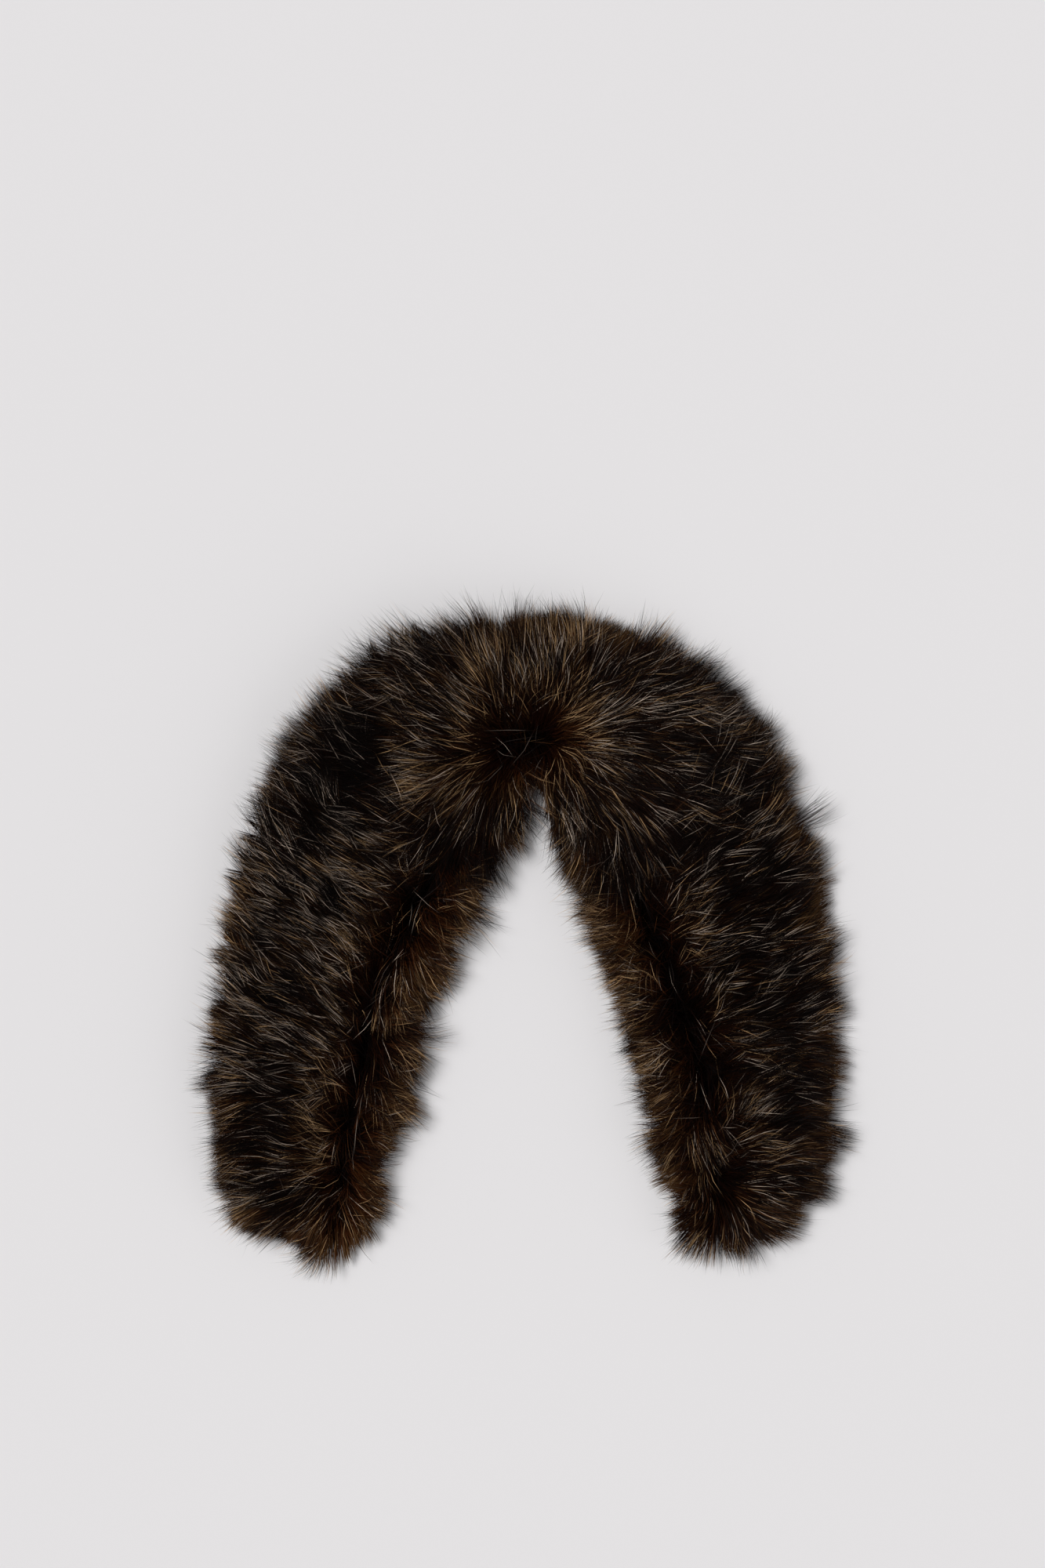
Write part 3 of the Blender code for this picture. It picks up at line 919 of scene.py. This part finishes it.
# Rows of the lay from the arm's end to the panel: which way the nap runs at the outer edge,
# midway and at the parting, in degrees from +X.
LEFT_OUTER_NAP = (
    (240, 262, 270), (215, 235, 265), (208, 190, 245), (202, 172, 150), (175, 163, 165),
    (128, 150, 146), (140, 143, 132), (125, 140, 158), (130, 155, 165), (125, 150, 165),
)
RIGHT_OUTER_NAP = (
    (-60, -80, -90), (-30, -43, -80), (-3, 5, 0), (-20, 22, 45), (-8, 8, 16),
    (38, 18, 30), (38, 20, 22), (35, 32, 40), (54, 45, 47), (45, 40, 45),
)


def band_nap(cloth, table, end_place):
    """The nap of a band, from the table's row for the place along the arm."""
    rows = abs(cloth.place - end_place)
    edge, middle, parting = (
        np.interp(rows, np.arange(len(table)), column) for column in zip(*table)
    )
    near_edge = edge + (middle - edge) * cloth.share * 2
    near_parting = middle + (parting - middle) * (cloth.share * 2 - 1)
    heading = np.radians(np.where(cloth.share < 0.5, near_edge, near_parting))
    return np.column_stack([np.cos(heading), np.sin(heading)])


END_WHORL = 2.1  # rows from the arm's end to the whorl that the parting ends in
PARTING_STEPS = 60
COMBED = (6, 9)  # the pile goes from upright to combed down between these rows from the end
PARTING_WANDER = 4 * MM  # how much wider or narrower the parting's dark zone gets
PARTING_WAVES = 30 * MM
PARTING_GOLDEN = 0.6
# What changes at the parting: how much in its middle, and from where to where that fades out.
# Its deep part is painted shade: the opened parting shows dark roots and shafts.
PARTING_BESIDE = (1, 6 * MM, 38 * MM)
PARTING_PARTED = (1, 2 * MM, 18 * MM)
PARTING_DEEP_SHADE = (0, 11 * MM)  # its amount is the opening's
OPENING = (0.7, 0.35)  # how deep the parting opens, and how much that varies along it
OPENING_WAVES = 45 * MM
OPENING_SEED = 9


def add_band(name, places, across, nap, end_place, looks, seed):
    """A band of an arm, between two places along and two across, its nap's table starting at
    end_place. looks says how pale and how golden it is away from its parting."""
    cloth = Cloth(f"{name}_cloth", *places, *across, upper_height)
    along = np.linspace(*places, PARTING_STEPS)
    along = np.clip(along, END_WHORL, RIGHT_END - END_WHORL)
    from_parting = distance_to(cloth.plan, lay_at(along)[:, PARTING])
    from_parting += PARTING_WANDER * sway(cloth.plan, PARTING_WAVES, np.random.default_rng(seed))
    opening = OPENING[0] + OPENING[1] * sway(
        cloth.plan, OPENING_WAVES, np.random.default_rng(OPENING_SEED)
    )
    beside = fading(*PARTING_BESIDE, from_parting)
    from_end = RIGHT_END / 2 - abs(cloth.place - RIGHT_END / 2)
    pale, golden = looks
    cloth.lay_nap(band_nap(cloth, nap, end_place))
    showing = cloth.plan + cloth.fields["nap"] * SHOWN_AHEAD
    cloth.fields["combed"] = smooth(*COMBED, from_end)
    cloth.fields["parted"] = fading(*PARTING_PARTED, from_parting)
    cloth.fields["pale"] = pale + bumps(showing, TONE_AND_SHEEN_PATCHES, 0)
    cloth.fields["golden"] = golden + bumps(showing, TONE_AND_SHEEN_PATCHES, 1)
    cloth.fields["golden"] += (PARTING_GOLDEN - golden) * beside
    # Painted shade in the parting's opening.
    cloth.fields["deep"] = fading(opening, *PARTING_DEEP_SHADE, from_parting)
    add_upper_piece(name, cloth, seed)


LEFT_ARM = (END_PLACE, LEFT_JOIN - SEAM)
RIGHT_ARM = (RIGHT_JOIN + SEAM, RIGHT_END - END_PLACE)
add_band(
    "outer_band_left", places=LEFT_ARM, across=(-1, -SEAM), nap=LEFT_OUTER_NAP,
    end_place=LEFT_END, looks=(-0.005, 0.25), seed=31,
)
# The right arm's hair is set darker than the left's: painted shade on the side away from the
# light.
add_band(
    "outer_band_right", places=RIGHT_ARM, across=(-1, -SEAM), nap=RIGHT_OUTER_NAP,
    end_place=RIGHT_END, looks=(-0.07, 0.25), seed=33,
)


# =========================================================================== Inner bands
# The narrow band along the neck edge of each arm, of the same fur cloth, its nap running the
# other way from the parting. It shows more of the golden underfur.

LEFT_INNER_NAP = (
    (-80, -85, -90), (-60, -75, -85), (-30, -50, -80), (0, 5, 5), (-48, -55, -62),
    (-45, -50, -55), (-30, -45, -50), (-45, -38, -33), (-40, -30, -30), (-50, -20, -15),
)
RIGHT_INNER_NAP = (
    (240, 255, 270), (220, 240, 262), (195, 205, 235), (205, 215, 240), (190, 192, 200),
    (204, 203, 198), (195, 200, 200), (190, 185, 178), (205, 190, 180), (215, 200, 190),
)

add_band(
    "inner_band_left", places=LEFT_ARM, across=(SEAM, 1), nap=LEFT_INNER_NAP,
    end_place=LEFT_END, looks=(0.03, 0.5), seed=41,
)
add_band(
    "inner_band_right", places=RIGHT_ARM, across=(SEAM, 1), nap=RIGHT_INNER_NAP,
    end_place=RIGHT_END, looks=(0.0, 0.5), seed=43,
)


# ================================================================= Floor, light and camera
# The collar lies on a plain pale floor under soft, even light from above, and is seen
# straight down through a long lens.

FLOOR_REACH = 6.0
floor_mesh = bpy.data.meshes.new("floor")
floor_corners = [
    (x * FLOOR_REACH, y * FLOOR_REACH, 0) for x, y in ((-1, -1), (1, -1), (1, 1), (-1, 1))
]
floor_mesh.from_pydata(floor_corners, [], [(0, 1, 2, 3)])
floor_paint = Finish("pale_floor", Roughness=0.9, Specular_IOR_Level=0.0)
floor_paint.feed("Base Color", (0.80, 0.784, 0.792, 1))
floor_mesh.materials.append(floor_paint.material)
floor = bpy.data.objects.new("floor", floor_mesh)
bpy.context.collection.objects.link(floor)

SKY_STRENGTH = 0.18
world = bpy.data.worlds.new("studio")
world.use_nodes = True
sky = world.node_tree.nodes["Background"]
sky.inputs["Color"].default_value = (1, 1, 1, 1)
sky.inputs["Strength"].default_value = SKY_STRENGTH
bpy.context.scene.world = world


def add_softbox(name, strength, spread, tilt, heading):
    """A large, distant soft light. It shines down at tilt from upright, from its heading."""
    light = bpy.data.lights.new(name, "SUN")
    light.energy = strength
    light.angle = radians(spread)
    lamp = bpy.data.objects.new(name, light)
    lamp.rotation_euler = (0, radians(tilt), radians(heading))
    bpy.context.collection.objects.link(lamp)


add_softbox("softbox_above", strength=2.34, spread=16, tilt=22, heading=155)
add_softbox("softbox_beside", strength=0.60, spread=60, tilt=60, heading=-45)

FRAME_HEIGHT = 1.170  # how much of the floor the view takes in, from top to bottom
FRAME_CENTRE = (-0.0015, 0.1113)
CAMERA_HEIGHT = 6.0
FILM_HEIGHT = 36  # millimetres
camera_data = bpy.data.cameras.new("camera")
camera_data.sensor_fit = "VERTICAL"
camera_data.sensor_height = FILM_HEIGHT
camera_data.lens = FILM_HEIGHT * CAMERA_HEIGHT / FRAME_HEIGHT
camera = bpy.data.objects.new("camera", camera_data)
camera.location = (*FRAME_CENTRE, CAMERA_HEIGHT)
bpy.context.collection.objects.link(camera)
bpy.context.scene.camera = camera
bpy.context.scene.view_settings.view_transform = "Standard"
